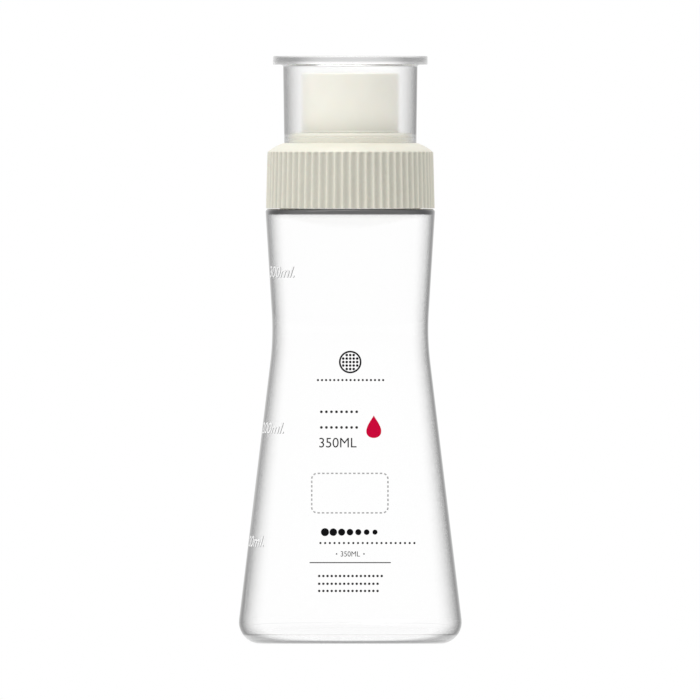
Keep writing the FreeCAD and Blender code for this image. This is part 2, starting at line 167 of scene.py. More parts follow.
class SpoutSizes(PropertyGroup):
    """Sizes of the spout with its seal, sieve and ring."""

    foot: distance("Foot", "Height of the plug's lower edge", SPOUT_FOOT)
    top: distance("Top", "Height of the spout's rim", SPOUT_TOP)
    plug_radius: distance("Plug radius", "Outside radius of the plug in the neck", 0.0202)
    plug_wall: distance("Plug wall", "Thickness of the plug at its lower edge", 0.0015)
    flange_radius: distance("Flange radius", "Outside radius of the flange on the seal", 0.0216)
    flange_foot: distance("Flange foot", "Height of the flange's lower face", 0.1568)
    flange_top: distance("Flange top", "Height of the flange's upper face", 0.1581)
    hub_radius: distance("Hub radius", "Outside radius of the hub in the collar", 0.0179)
    hub_top: distance("Hub top", "Height of the hub's upper face", 0.1624)
    tube_radius: distance("Tube radius", "Outside radius of the tube", 0.01555)
    bore: distance("Bore", "Inside radius of the tube", 0.0136)
    bead_foot: distance("Bead foot", "Height of the snap bead's lower face", 0.16425)
    bead_depth: distance("Bead depth", "How far the snap bead stands out", 0.0003)
    bead_height: distance("Bead height", "Height of the snap bead", 0.0007)
    sieve_seat: distance("Sieve seat", "Radius of the seat for the sieve", 0.0147)
    sieve_foot: distance("Sieve foot", "Height of the sieve's lower face", SIEVE_FOOT)
    sieve_rise: distance("Sieve rise", "Thickness of the woven sieve", 0.0004)
    weave_pitch: distance("Weave pitch", "Distance between neighbouring wires", 0.0008)
    seal_outer: distance("Seal outside", "Outside radius of the seal", 0.0223)
    seal_inner: distance("Seal inside", "Inside radius of the seal", 0.0203)
    ring_outer: distance("Ring outside", "Outside radius of the retaining ring", 0.01465)
    ring_inner: distance("Ring inside", "Inside radius of the retaining ring", 0.0132)
    ring_height: distance("Ring height", "Height of the retaining ring", 0.001)
    ring_bevel: distance("Ring bevel", "Bevel of the retaining ring", 0.0003)


class CapSizes(PropertyGroup):
    """Sizes of the clear cap."""

    foot: distance("Foot", "Height of the cap's lower edge", CAP_FOOT)
    top: distance("Top", "Height of the cap's roof", CAP_TOP)
    land_radius: distance("Land radius", "Inside radius of the land that grips the boss", 0.02)
    land_height: distance("Land height", "Height of the gripping land", 0.0018)
    land_step: distance("Land step", "Step above the gripping land", 0.00015)
    base_radius: distance("Base radius", "Outside radius at the lower edge", 0.02125)
    throat_radius: distance("Throat radius", "Outside radius under the flange", 0.0216)
    wall: distance("Wall", "Thickness of the wall", 0.0011)
    roof: distance("Roof", "Thickness of the roof", 0.0021)
    flange_radius: distance("Flange radius", "Outside radius of the flange", 0.02485)
    flange: distance("Flange", "Thickness of the flange", 0.00275)
    flange_rounding: distance("Flange rounding", "Rounding of the flange's edges", 0.0006)
    throat_rounding: distance("Throat rounding", "Hollow rounding under the flange", 0.0008)
    inner_rounding: distance("Inner rounding", "Rounding inside the roof", 0.0012)


class Finishes(PropertyGroup):
    """Colours of the plastics, the seal, the sieve and the inks, and the painted shade and shadow on some of them.
    """

    cream: tone("Cream plastic", "Colour of the spout and the ring", (0.92, 0.90, 0.80))
    # The collar is the same cream plastic as the spout, set darker as painted shade on the ribbed skirt.
    collar_cream_shaded: tone("Collar plastic", "Colour of the collar", (0.775, 0.755, 0.65))
    # Painted shade in the collar's grooves.
    groove_painted_shade: share("Groove shade", "Brightness at the bottom of the collar's grooves", 0.72)
    # Painted shade towards the foot of the spout's tube.
    foot_painted_shade: share("Foot shade", "Brightness at the foot of the spout's tube", 0.74)
    seal: tone("Seal", "Colour of the soft seal", (0.72, 0.72, 0.70))
    steel: tone("Steel", "Colour of the sieve's wire", (0.62, 0.62, 0.61))
    dark_ink: tone("Dark ink", "Ink of the badge and the bold dots", (0.003, 0.003, 0.004))
    grey_ink: tone("Grey ink", "Ink of the numbers and fine lines", (0.03, 0.03, 0.03))
    pale_ink: tone("Pale ink", "Ink of the writing box", (0.42, 0.42, 0.42))
    red_ink: tone("Red ink", "Ink of the drop", (0.63, 0.0, 0.042))
    white_ink: tone("White ink", "Ink of the volume marks", (0.93, 0.93, 0.93))
    # Painted shadow: a grey copy of the volume marks, shifted right and down beside the white ink.
    mark_shade: tone("Mark shade", "Thin grey edge beside the volume marks", (0.2, 0.2, 0.2))


class StageLook(PropertyGroup):
    """Camera and light."""

    view_width: distance("View width", "Width of the camera's view", 0.22508)
    view_height: distance("View height", "Height that the camera looks at", 0.09447)
    sky: share("Sky", "Level of the plain light from all round", 0.72)
    key_power: FloatProperty(name="Key power", description="Power of the lamp at the upper left",
                             default=1.4, min=0.0, subtype="POWER", unit="POWER")
    top_power: FloatProperty(name="Top power", description="Power of the lamp overhead",
                             default=3.4, min=0.0, subtype="POWER", unit="POWER")
    rim_power: FloatProperty(name="Rim power", description="Power of the small lamp behind the left side",
                             default=0.09, min=0.0, subtype="POWER", unit="POWER")
    floor_tone: tone("Floor", "Colour of the floor", (0.88, 0.88, 0.88))


class ShakerSettings(PropertyGroup):
    """All sizes and colours of the shaker bottle."""

    bottle: PointerProperty(type=BottleSizes)
    collar: PointerProperty(type=CollarSizes)
    thread: PointerProperty(type=ThreadSizes)
    spout: PointerProperty(type=SpoutSizes)
    cap: PointerProperty(type=CapSizes)
    finishes: PointerProperty(type=Finishes)
    stage: PointerProperty(type=StageLook)


def bow(start, end, radius, steps=10):
    """Corners between start and end on an arc, whose centre is on the left if radius is positive."""
    start, end = Vector(start), Vector(end)
    chord = end - start
    depth = math.sqrt(radius * radius - chord.length_squared / 4)
    left = Vector((-chord.y, chord.x)).normalized()
    centre = (start + end) / 2 + left * math.copysign(depth, radius)
    first = start - centre
    swing = first.angle_signed(end - centre)
    corners = []
    for step in range(1, steps):
        turn = -swing * step / steps
        across = first.x * math.cos(turn) - first.y * math.sin(turn)
        up = first.x * math.sin(turn) + first.y * math.cos(turn)
        corners.append((centre.x + across, centre.y + up, 0.0))
    return corners


def rounded(corners):
    """(radius, height) points through (radius, height, rounding) corners."""
    points = []
    for place, (radius, height, rounding) in enumerate(corners):
        here = Vector((radius, height))
        if not rounding:
            points.append((radius, height))
            continue
        back = (Vector(corners[place - 1][:2]) - here).normalized()
        ahead = (Vector(corners[(place + 1) % len(corners)][:2]) - here).normalized()
        half = back.angle(ahead) / 2
        reach = rounding / math.tan(half)
        centre = here + (back + ahead).normalized() * rounding / math.sin(half)
        start = here + back * reach
        end = here + ahead * reach
        steps = max(3, math.ceil((math.pi - 2 * half) / math.radians(10)))
        side = 1 if back.x * ahead.y - back.y * ahead.x < 0 else -1
        arc = bow(start, end, side * rounding, steps)
        points += [tuple(start)] + [corner[:2] for corner in arc] + [tuple(end)]
    return points


def rows_between(radius, low, high, step):
    """Plain corners up (or down) a straight wall, close enough to carry a thread."""
    count = max(1, round(abs(high - low) / step))
    return [(radius, low + (high - low) * row / count, 0.0) for row in range(count + 1)]


def spin(name, outline, steps, shape=None):
    """A piece turned about the Z axis from an outline that runs outwards, up, inwards and down.

    An outline that starts on the axis also ends there; any other is a ring. shape, if given,
    returns the radius for an angle, a radius and a height, and "sunk" notes how far in it went.
    """
    poles = outline[0][0] < 1e-7
    points, rows, sunk = [], [], []
    for radius, height in outline:
        if radius < 1e-7:
            rows.append([len(points)])
            points.append((0.0, 0.0, height))
            sunk.append(0.0)
            continue
        rows.append(range(len(points), len(points) + steps))
        for step in range(steps):
            angle = math.tau * step / steps
            reach = shape(angle, radius, height) if shape else radius
            points.append((reach * math.cos(angle), reach * math.sin(angle), height))
            sunk.append(radius - reach)
    faces = []
    pairs = list(zip(rows, rows[1:])) + ([] if poles else [(rows[-1], rows[0])])
    for low, high in pairs:
        for step in range(steps):
            after = (step + 1) % steps
            if len(low) == 1:
                faces.append((low[0], high[after], high[step]))
            elif len(high) == 1:
                faces.append((low[step], low[after], high[0]))
            else:
                faces.append((low[step], low[after], high[after], high[step]))
    mesh = bpy.data.meshes.new(name)
    mesh.from_pydata(points, [], faces)
    if shape:
        mesh.attributes.new("sunk", "FLOAT", "POINT").data.foreach_set("value", sunk)
    return mesh


def ease(value):
    """0 to 1 with soft ends."""
    value = min(max(value, 0.0), 1.0)
    return value * value * (3 - 2 * value)


def thread_rise(thread, angle, height, middle):
    """How far the ridge of a right-hand thread stands out at an angle and a height."""
    along = angle / math.tau
    off = abs(height - middle - thread.pitch * along)
    flank = (thread.root / 2 - off) / ((thread.root - thread.crest) / 2)
    end = min(along, thread.turns - along) / 0.015
    return thread.height * ease(flank) * ease(end)


def put(mesh, body, material, replaces=None, sharp=40.0):
    """Place a mesh in the scene as a shaded piece that rides on a body."""
    mesh.shade_smooth()
    mesh.set_sharp_from_angle(angle=math.radians(sharp))
    mesh.materials.append(material)
    piece = bpy.data.objects.new(mesh.name, mesh)
    bpy.context.scene.collection.objects.link(piece)
    shading = piece.modifiers.new("even_shading", "WEIGHTED_NORMAL")
    shading.keep_sharp = True
    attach(piece, body)
    if replaces:
        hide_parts(replaces)
    return piece


def blank_finish(name):
    """A node material and its Principled shader."""
    material = bpy.data.materials.new(name)
    material.use_nodes = True
    return material, material.node_tree.nodes, material.node_tree.links, material.node_tree.nodes["Principled BSDF"]


def add_node(nodes, kind, inputs=None, **settings):
    """A node with its settings and its unlinked inputs filled in."""
    node = nodes.new(kind)
    for key, value in settings.items():
        setattr(node, key, value)
    for key, value in (inputs or {}).items():
        node.inputs[key].default_value = value
    return node


def speckle(nodes, links, scale, detail=3.0):
    """Fine noise over the object's own space."""
    place = add_node(nodes, "ShaderNodeTexCoord")
    noise = add_node(nodes, "ShaderNodeTexNoise", {"Scale": scale, "Detail": detail})
    links.new(place.outputs["Object"], noise.inputs["Vector"])
    return noise


def vary(nodes, links, colour, spread, scale, target):
    """Drive a colour socket with small slow changes round a colour."""
    noise = speckle(nodes, links, scale)
    ramp = add_node(nodes, "ShaderNodeValToRGB")
    ramp.color_ramp.elements[0].position = 0.3
    ramp.color_ramp.elements[1].position = 0.7
    ramp.color_ramp.elements[0].color = (*[part * (1 - spread) for part in colour], 1)
    ramp.color_ramp.elements[1].color = (*[min(part * (1 + spread), 1) for part in colour], 1)
    links.new(noise.outputs["Fac"], ramp.inputs["Fac"])
    links.new(ramp.outputs["Color"], target)


def texture_bump(nodes, links, shader, scale, depth, strength=1.0):
    """A fine moulded texture, depth in metres."""
    noise = speckle(nodes, links, scale, 2.0)
    bump = add_node(nodes, "ShaderNodeBump", {"Strength": strength, "Distance": depth})
    links.new(noise.outputs["Fac"], bump.inputs["Height"])
    links.new(bump.outputs["Normal"], shader.inputs["Normal"])


def texture_gloss(nodes, links, shader, low, high, scale):
    """Roughness that wanders between two values."""
    noise = speckle(nodes, links, scale)
    spread = add_node(nodes, "ShaderNodeMapRange", {"To Min": low, "To Max": high})
    links.new(noise.outputs["Fac"], spread.inputs["Value"])
    links.new(spread.outputs["Result"], shader.inputs["Roughness"])


def opaque_finish(name, colour, gloss, spread=0.02, scale=140.0, grain=2600.0, depth=0.00001, **inputs):
    """Moulded or printed material: uneven colour and gloss over a fine texture."""
    material, nodes, links, shader = blank_finish(name)
    vary(nodes, links, colour, spread, scale, shader.inputs["Base Color"])
    texture_gloss(nodes, links, shader, gloss - 0.05, gloss + 0.05, scale * 2)
    texture_bump(nodes, links, shader, grain, depth)
    for key, value in inputs.items():
        shader.inputs[key.replace("_", " ")].default_value = value
    material.diffuse_color = (*colour, 1)
    return material


def slant_shade(nodes, links, facing, shading):
    """Grey for a slant, by (start, end, level before, level after); the change between is smooth."""
    start, end, before, after = shading
    shade = add_node(nodes, "ShaderNodeMapRange", {
        "From Min": start, "From Max": end, "To Min": before, "To Max": after},
        interpolation_type="SMOOTHSTEP")
    links.new(facing, shade.inputs["Value"])
    return shade.outputs["Result"]


def mark_outside(mesh):
    """Note on each point whether it faces away from the axis, for the clear finish."""
    marks = mesh.attributes.new("outside", "FLOAT", "POINT")
    for vertex, mark in zip(mesh.vertices, marks.data):
        mark.value = float(Vector(vertex.co.xy).dot(vertex.normal.xy) > 0.1 * Vector(vertex.co.xy).length)
    return mesh


def band_mask(nodes, links, low, high, radius=0.0, soft=0.0002):
    """1 between two heights and outside a radius in the object's own space, else 0."""
    place = add_node(nodes, "ShaderNodeTexCoord")
    split = add_node(nodes, "ShaderNodeSeparateXYZ")
    flat = add_node(nodes, "ShaderNodeVectorMath", {1: (1, 1, 0)}, operation="MULTIPLY")
    reach = add_node(nodes, "ShaderNodeVectorMath", operation="LENGTH")
    links.new(place.outputs["Object"], split.inputs["Vector"])
    links.new(place.outputs["Object"], flat.inputs[0])
    links.new(flat.outputs["Vector"], reach.inputs[0])
    mask = None
    for source, near, far in ((split.outputs["Z"], low - soft, low + soft),
                              (split.outputs["Z"], high + soft, high - soft),
                              (reach.outputs["Value"], radius - soft, radius)):
        side = add_node(nodes, "ShaderNodeMapRange", {"From Min": near, "From Max": far})
        links.new(source, side.inputs["Value"])
        if mask is None:
            mask = side.outputs["Result"]
            continue
        both = add_node(nodes, "ShaderNodeMath", operation="MULTIPLY")
        links.new(mask, both.inputs[0])
        links.new(side.outputs["Result"], both.inputs[1])
        mask = both.outputs["Value"]
    return mask


def clear_finish(name, shading, haze, ripple, bands=(), painted_dark_zone=None):
    """Clear plastic whose outside darkens with painted shade where it is seen edge-on.

    Each (low, high, soft, shading) band paints shade on those heights in its own way. The last argument, if given,
    is a (low, high, radius, shading) zone painted an opaque dark grey: painted shade for the dark that the real
    shoulder shows from under the collar. Lamps, diffuse light and what is mirrored in the walls pass straight
    through.
    """
    material, nodes, links, shader = blank_finish(name)
    shader.inputs["Transmission Weight"].default_value = 1.0
    shader.inputs["IOR"].default_value = 1.5
    shader.inputs["Roughness"].default_value = haze
    facing = add_node(nodes, "ShaderNodeLayerWeight", {"Blend": 0.5}).outputs["Facing"]

    def blended(under, over, mask):
        blend = add_node(nodes, "ShaderNodeMix", data_type="RGBA")
        blend.inputs["A"].default_value = (1, 1, 1, 1)
        if under:
            links.new(under, blend.inputs["A"])
        links.new(over, blend.inputs["B"])
        links.new(mask, blend.inputs["Factor"])
        return blend.outputs["Result"]

    outside = add_node(nodes, "ShaderNodeAttribute", attribute_type="GEOMETRY", attribute_name="outside")
    painted_shade = slant_shade(nodes, links, facing, shading)
    for low, high, soft, band_shading in bands:
        mask = band_mask(nodes, links, low, high, soft=soft)
        painted_shade = blended(painted_shade, slant_shade(nodes, links, facing, band_shading), mask)
    painted_shade = blended(None, painted_shade, outside.outputs["Fac"])
    # Paint the zone an opaque dark grey: painted shade.
    if painted_dark_zone:
        low, high, radius, dark_zone_shading = painted_dark_zone
        mask = band_mask(nodes, links, low, high, radius)
        painted_shade = blended(painted_shade, slant_shade(nodes, links, facing, dark_zone_shading), mask)
        clearness = add_node(nodes, "ShaderNodeMath", {0: 1.0}, operation="SUBTRACT")
        links.new(mask, clearness.inputs[1])
        links.new(clearness.outputs["Value"], shader.inputs["Transmission Weight"])
    links.new(painted_shade, shader.inputs["Base Color"])
    texture_bump(nodes, links, shader, 55.0, 0.00002, ripple)
    path = add_node(nodes, "ShaderNodeLightPath")
    passing = add_node(nodes, "ShaderNodeMath", operation="MAXIMUM")
    open_air = add_node(nodes, "ShaderNodeBsdfTransparent", {"Color": (0.98, 0.98, 0.98, 1)})
    choice = add_node(nodes, "ShaderNodeMixShader")
    links.new(path.outputs["Is Shadow Ray"], passing.inputs[0])
    links.new(path.outputs["Is Diffuse Ray"], passing.inputs[1])
    mirrored = add_node(nodes, "ShaderNodeMath", {1: 0.5}, operation="GREATER_THAN")
    either = add_node(nodes, "ShaderNodeMath", operation="MAXIMUM")
    links.new(path.outputs["Glossy Depth"], mirrored.inputs[0])
    links.new(passing.outputs["Value"], either.inputs[0])
    links.new(mirrored.outputs["Value"], either.inputs[1])
    links.new(either.outputs["Value"], choice.inputs["Fac"])
    links.new(shader.outputs["BSDF"], choice.inputs[1])
    links.new(open_air.outputs["BSDF"], choice.inputs[2])
    links.new(choice.outputs["Shader"], nodes["Material Output"].inputs["Surface"])
    material.diffuse_color = (0.9, 0.9, 0.92, 0.3)
    return material


def kept_finish(name, make, *details, **more):
    """The material of this name, made once."""
    return bpy.data.materials.get(name) or make(name, *details, **more)


def cream_plastic(finishes):
    """Satin cream plastic that lets a little light in."""
    return kept_finish("cream_satin", opaque_finish, finishes.cream, 0.42,
                       Subsurface_Weight=0.12, Subsurface_Scale=0.0012)


def shade_colour(nodes, links, level):
    """Multiply the Principled shader's colour by a level."""
    colour = nodes["Principled BSDF"].inputs["Base Color"]
    darker = add_node(nodes, "ShaderNodeMix", {"Factor": 1.0}, data_type="RGBA", blend_type="MULTIPLY")
    links.new(colour.links[0].from_socket, darker.inputs["A"])
    links.new(level, darker.inputs["B"])
    links.new(darker.outputs["Result"], colour)


def tube_cream(name, finishes, foot, head):
    """The cream plastic with painted shade, a little darker towards the foot of the tube, where less light gets in.
    """
    material = opaque_finish(name, finishes.cream, 0.42, Subsurface_Weight=0.12, Subsurface_Scale=0.0012)
    nodes, links = material.node_tree.nodes, material.node_tree.links
    place = add_node(nodes, "ShaderNodeTexCoord")
    split = add_node(nodes, "ShaderNodeSeparateXYZ")
    near = add_node(nodes, "ShaderNodeMapRange", {"From Min": head, "From Max": foot})
    curve = add_node(nodes, "ShaderNodeMath", {1: 2.0}, operation="POWER")
    shade = add_node(nodes, "ShaderNodeMapRange", {"To Min": 1.0, "To Max": finishes.foot_painted_shade})
    links.new(place.outputs["Object"], split.inputs["Vector"])
    links.new(split.outputs["Z"], near.inputs["Value"])
    links.new(near.outputs["Result"], curve.inputs[0])
    links.new(curve.outputs["Value"], shade.inputs["Value"])
    shade_colour(nodes, links, shade.outputs["Result"])
    return material


def ribbed_cream(name, finishes, depth):
    """The cream plastic with painted shade in grooves of this depth: the deeper a point sits, the darker."""
    # The collar's colour is set darker than the spout's cream, as painted shade.
    material = opaque_finish(name, finishes.collar_cream_shaded, 0.42, Subsurface_Weight=0.05, Subsurface_Scale=0.0006)
    nodes, links = material.node_tree.nodes, material.node_tree.links
    sunk = add_node(nodes, "ShaderNodeAttribute", attribute_type="GEOMETRY", attribute_name="sunk")
    shade = add_node(nodes, "ShaderNodeMapRange", {
        "From Max": depth, "To Min": 1.0, "To Max": finishes.groove_painted_shade})
    links.new(sunk.outputs["Fac"], shade.inputs["Value"])
    shade_colour(nodes, links, shade.outputs["Result"])
    return material


def waist_ends(bottle, inward=0.0):
    """The waist arc's radius and its two ends, on the face this far inside the wall."""
    arc = bottle.waist_arc + inward
    middle = bottle.waist_radius - inward + arc
    lower = (middle - arc * math.cos(bottle.lower_lean),
             bottle.waist_height - arc * math.sin(bottle.lower_lean))
    upper = (middle - arc * math.cos(bottle.upper_lean),
             bottle.waist_height + arc * math.sin(bottle.upper_lean))
    return arc, lower, upper


def wall_radius(bottle, height):
    """Outside radius of the bottle's wall at a height."""
    arc, lower, upper = waist_ends(bottle)
    if height <= lower[1]:
        return lower[0] + (lower[1] - height) * math.tan(bottle.lower_lean)
    if height >= upper[1]:
        return upper[0] + (height - upper[1]) * math.tan(bottle.upper_lean)
    return bottle.waist_radius + arc - math.sqrt(arc * arc - (height - bottle.waist_height) ** 2)


def wall_corners(bottle, inward):
    """The waisted wall from its lower arc end to its upper one."""
    arc, lower, upper = waist_ends(bottle, inward)
    return [(*lower, 0.0)] + bow(lower, upper, -arc, 18) + [(*upper, 0.0)]


class SHAKER_OT_bottle(Operator):
    """Build the clear bottle with its foot, waist, shoulder and threaded neck"""

    bl_idname = "shaker.bottle"
    bl_label = "Clear Bottle"

    def execute(self, context):
        shaker = context.scene.shaker
        bottle, thread = shaker.bottle, shaker.thread
        outer = wall_corners(bottle, 0.0)
        inner = wall_corners(bottle, bottle.wall)
        down = math.tan(bottle.lower_lean)
        up = math.tan(bottle.upper_lean)
        foot_edge = outer[0][0] + outer[0][1] * down
        ring_outer = foot_edge - bottle.foot_rounding * (down + 1 / math.cos(bottle.lower_lean))
        ring_inner = ring_outer - bottle.ring_width
        dome = (ring_inner ** 2 + bottle.push_up ** 2) / (2 * bottle.push_up)
        roof = bottle.shoulder_height - bottle.shoulder
        neck_bore = bottle.neck_radius - bottle.neck_wall
        shoulder_edge = outer[-1][0] + (bottle.shoulder_height - outer[-1][1]) * up
        roof_edge = inner[-1][0] + (roof - inner[-1][1]) * up
        floor_edge = inner[0][0] + (inner[0][1] - bottle.floor) * down
        low, high = bottle.thread_middle - 0.0016, bottle.thread_middle + 0.0056
        outline = rounded(
            [(0.0, bottle.push_up, 0.0)]
            + bow((0.0, bottle.push_up), (ring_inner, 0.0), -dome)
            + [(ring_inner, 0.0, 0.0004), (foot_edge, 0.0, bottle.foot_rounding)]
            + outer
            + [(shoulder_edge, bottle.shoulder_height, bottle.shoulder_rounding),
               (bottle.neck_radius, bottle.shoulder_height, 0.0005)]
            + rows_between(bottle.neck_radius, low, high, 0.00015)
            + [(bottle.neck_radius, bottle.neck_top, 0.0005),
               (neck_bore, bottle.neck_top, 0.0005),
               (neck_bore, roof, 0.0005),
               (roof_edge, roof, 0.0003)]
            + inner[::-1]
            + [(floor_edge, bottle.floor, bottle.floor_rounding), (ring_inner, bottle.floor, 0.0)]
            + bow((ring_inner, bottle.floor), (0.0, bottle.push_up + bottle.floor), dome)
            + [(0.0, bottle.push_up + bottle.floor, 0.0)]
        )

        def threaded(angle, radius, height):
            if abs(radius - bottle.neck_radius) > 1e-6 or not low <= height <= high:
                return radius
            return radius + thread_rise(thread, angle, height, bottle.thread_middle)

        # The dark band at the shoulder is painted shade: an opaque dark grey zone for the dark that the real clear
        # shoulder shows from under the collar.
        painted_dark_shoulder = (roof - 0.0002, bottle.shoulder_height + 0.001, roof_edge - 0.0005, SHOULDER_SHADING)
        # Painted shade on bands of the bottle: a grey haze under the shoulder, dark wedges at the sides of the
        # thick floor, a faint line where the inside floor rounds off, and a dark strip at the foot.
        bands = ((roof - 0.0008, bottle.neck_top, 0.0008, UNDER_SHOULDER_SHADING),
                 (0.001, 0.0029, 0.0002, UNDER_FLOOR_SHADING),
                 (0.00275, 0.00305, 0.0001, FLOOR_LINE_SHADING),
                 (-0.001, 0.001, 0.0002, FOOT_SHADING))
        clear = kept_finish("bottle_plastic", clear_finish, WALL_SHADING, 0.0, 0.3, bands, painted_dark_shoulder)
        mesh = mark_outside(spin("clear_bottle", outline, 360, threaded))
        put(mesh, "bottle", clear, "bottle_body")
        return {"FINISHED"}


class SHAKER_OT_collar(Operator):
    """Build the screw collar with its grip ribs, domed shoulder, boss and inside thread"""

    bl_idname = "shaker.collar"
    bl_label = "Screw Collar"

    def execute(self, context):
        shaker = context.scene.shaker
        collar, thread = shaker.collar, shaker.thread
        skirt_top = collar.foot + collar.skirt
        seat = skirt_top + collar.crown
        slope = (collar.foot_radius - collar.head_radius) / collar.skirt
        low, high = collar.thread_middle - 0.0016, collar.thread_middle + 0.0056
        fade = [(collar.head_radius + slope * drop, skirt_top - drop, 0.0)
                for drop in (0.0020, 0.0014, 0.0011, 0.0009, 0.0007, 0.0005)]
        outline = rounded(
            [(collar.bore, collar.foot, 0.0004),
             (collar.foot_radius, collar.foot, 0.00025)]
            + fade
            + [(collar.head_radius, skirt_top, 0.0004)]
            + bow((collar.head_radius, skirt_top), (collar.seat_radius, seat), collar.crown_arc, 12)
            + [(collar.seat_radius, seat, 0.0004),
               (collar.boss_radius, seat, 0.0002),
               (collar.boss_radius, collar.top, collar.boss_rounding),
               (collar.hole, collar.top, 0.0003),
               (collar.hole, collar.recess_top, 0.0),
               (collar.recess, collar.recess_top, 0.0),
               (collar.recess, collar.ceiling, 0.0),
               (collar.bore, collar.ceiling, 0.0005)]
            + rows_between(collar.bore, high, low, 0.0003)
        )
        groove_spacing = math.tau / collar.rib_count

        def ribbed(angle, radius, height):
            if abs(radius - collar.bore) < 1e-6 and low <= height <= high:
                return radius - thread_rise(thread, angle, height, collar.thread_middle)
            if radius < collar.head_radius - 0.0012 or height > skirt_top + 0.0005:
                return radius
            away = abs((angle + groove_spacing / 2) % groove_spacing - groove_spacing / 2) * radius
            floor = math.sqrt(max(collar.groove_radius ** 2 - away ** 2, 0.0))
            dip = floor - collar.groove_radius + collar.groove_depth
            dip = (dip + math.sqrt(dip * dip + 0.00006 ** 2)) / 2
            return radius - dip * ease((skirt_top + 0.0004 - height) / 0.0007)

        plastic = kept_finish("ribbed_cream_satin", ribbed_cream, shaker.finishes, collar.groove_depth)
        put(spin("ribbed_collar", outline, collar.rib_count * 12, ribbed), "collar", plastic,
            "screw_collar", 60.0)
        return {"FINISHED"}


class SHAKER_OT_spout(Operator):
    """Build the spout that carries the sieve, with the soft seal under its flange"""

    bl_idname = "shaker.spout"
    bl_label = "Spout and Seal"

    def execute(self, context):
        shaker = context.scene.shaker
        spout = shaker.spout
        bead = spout.tube_radius + spout.bead_depth
        outline = rounded([
            (spout.plug_radius - spout.plug_wall, spout.foot, 0.0003),
            (spout.plug_radius, spout.foot, 0.0004),
            (spout.plug_radius, spout.flange_foot, 0.0),
            (spout.flange_radius, spout.flange_foot, 0.0002),
            (spout.flange_radius, spout.flange_top, 0.0002),
            (spout.hub_radius, spout.flange_top, 0.0),
            (spout.hub_radius, spout.hub_top, 0.0003),
            (spout.tube_radius, spout.hub_top, 0.0),
            (spout.tube_radius, spout.bead_foot, 0.0),
            (bead, spout.bead_foot, 0.00008),
            (bead, spout.bead_foot + spout.bead_height / 2, 0.0001),
            (spout.tube_radius, spout.bead_foot + spout.bead_height, 0.0001),
            (spout.tube_radius, spout.top, 0.0005),
            (spout.sieve_seat, spout.top, 0.0002),
            (spout.sieve_seat, spout.sieve_foot, 0.0),
            (spout.bore, spout.sieve_foot, 0.0002),
            (spout.bore, spout.flange_top + 0.001, 0.001),
        ])
        plastic = kept_finish("tube_cream_satin", tube_cream, shaker.finishes, spout.bead_foot,
                              spout.bead_foot + 0.008)
        put(spin("sieve_spout_tube", outline, 256), "head", plastic, "sieve_spout")
        seal_foot = spout.flange_foot - 0.0012
        seal = rounded([
            (spout.seal_inner, seal_foot, 0.0002),
            (spout.seal_outer, seal_foot, 0.0002),
            (spout.seal_outer, spout.flange_foot, 0.0002),
            (spout.seal_inner, spout.flange_foot, 0.0002),
        ])
        rubber = kept_finish("seal_rubber", opaque_finish, shaker.finishes.seal, 0.6,
                             Subsurface_Weight=0.1, Subsurface_Scale=0.001)
        put(spin("soft_seal", seal, 192), "head", rubber, "neck_gasket")
        return {"FINISHED"}


class SHAKER_OT_sieve(Operator):
    """Weave the wire sieve and build the ring that holds it"""

    bl_idname = "shaker.sieve"
    bl_label = "Sieve and Ring"

    def execute(self, context):
        shaker = context.scene.shaker
        spout = shaker.spout
        steel = kept_finish("sieve_wire", opaque_finish, shaker.finishes.steel, 0.32,
                            spread=0.06, Metallic=1.0)
        put(woven_wires("woven_sieve", spout), "head", steel, "sieve_mesh")
        foot = spout.sieve_foot + spout.sieve_rise
        top = foot + spout.ring_height
        outline = rounded([
            (spout.ring_inner, foot, 0.0001),
            (spout.ring_outer, foot, 0.0001),
            (spout.ring_outer, top, 0.0002),
            (spout.ring_inner + spout.ring_bevel, top, 0.0002),
            (spout.ring_inner, top - spout.ring_bevel, 0.0002),
        ])
        put(spin("sieve_ring", outline, 192), "head", cream_plastic(shaker.finishes),
            "mesh_ring")
        return {"FINISHED"}


def woven_wires(name, spout):
    """Plain-woven wire cloth cut to a disc: two sets of wires that pass over and under each other."""
    pitch = spout.weave_pitch
    half_wire = spout.sieve_rise / 4
    middle = spout.sieve_foot + spout.sieve_rise / 2
    reach = spout.sieve_seat - 0.0003
    points, faces = [], []
    sides, per_pitch = 6, 4
    count = int(reach / pitch)
    for along_x in (True, False):
        for wire in range(-count, count + 1):
            offset = wire * pitch
            half = math.sqrt(reach * reach - offset * offset)
            steps = max(2, round(2 * half / pitch * per_pitch))
            sign = (1 if wire % 2 == 0 else -1) * (1 if along_x else -1)
            first = len(points)
            for step in range(steps + 1):
                along = -half + 2 * half * step / steps
                height = middle + sign * half_wire * math.cos(math.pi * along / pitch)
                for side in range(sides):
                    angle = math.tau * side / sides
                    across = offset + half_wire * math.cos(angle)
                    up = height + half_wire * math.sin(angle)
                    points.append((along, across, up) if along_x else (across, along, up))
            for step in range(steps):
                for side in range(sides):
                    low = first + step * sides
                    near, far = low + side, low + (side + 1) % sides
                    quad = (near, far, far + sides, near + sides)
                    faces.append(quad[::-1] if along_x else quad)
            start = tuple(range(first, first + sides))
            end = tuple(range(first + steps * sides, first + steps * sides + sides))
            faces += [start, end[::-1]] if along_x else [start[::-1], end]
    mesh = bpy.data.meshes.new(name)
    mesh.from_pydata(points, [], faces)
    return mesh


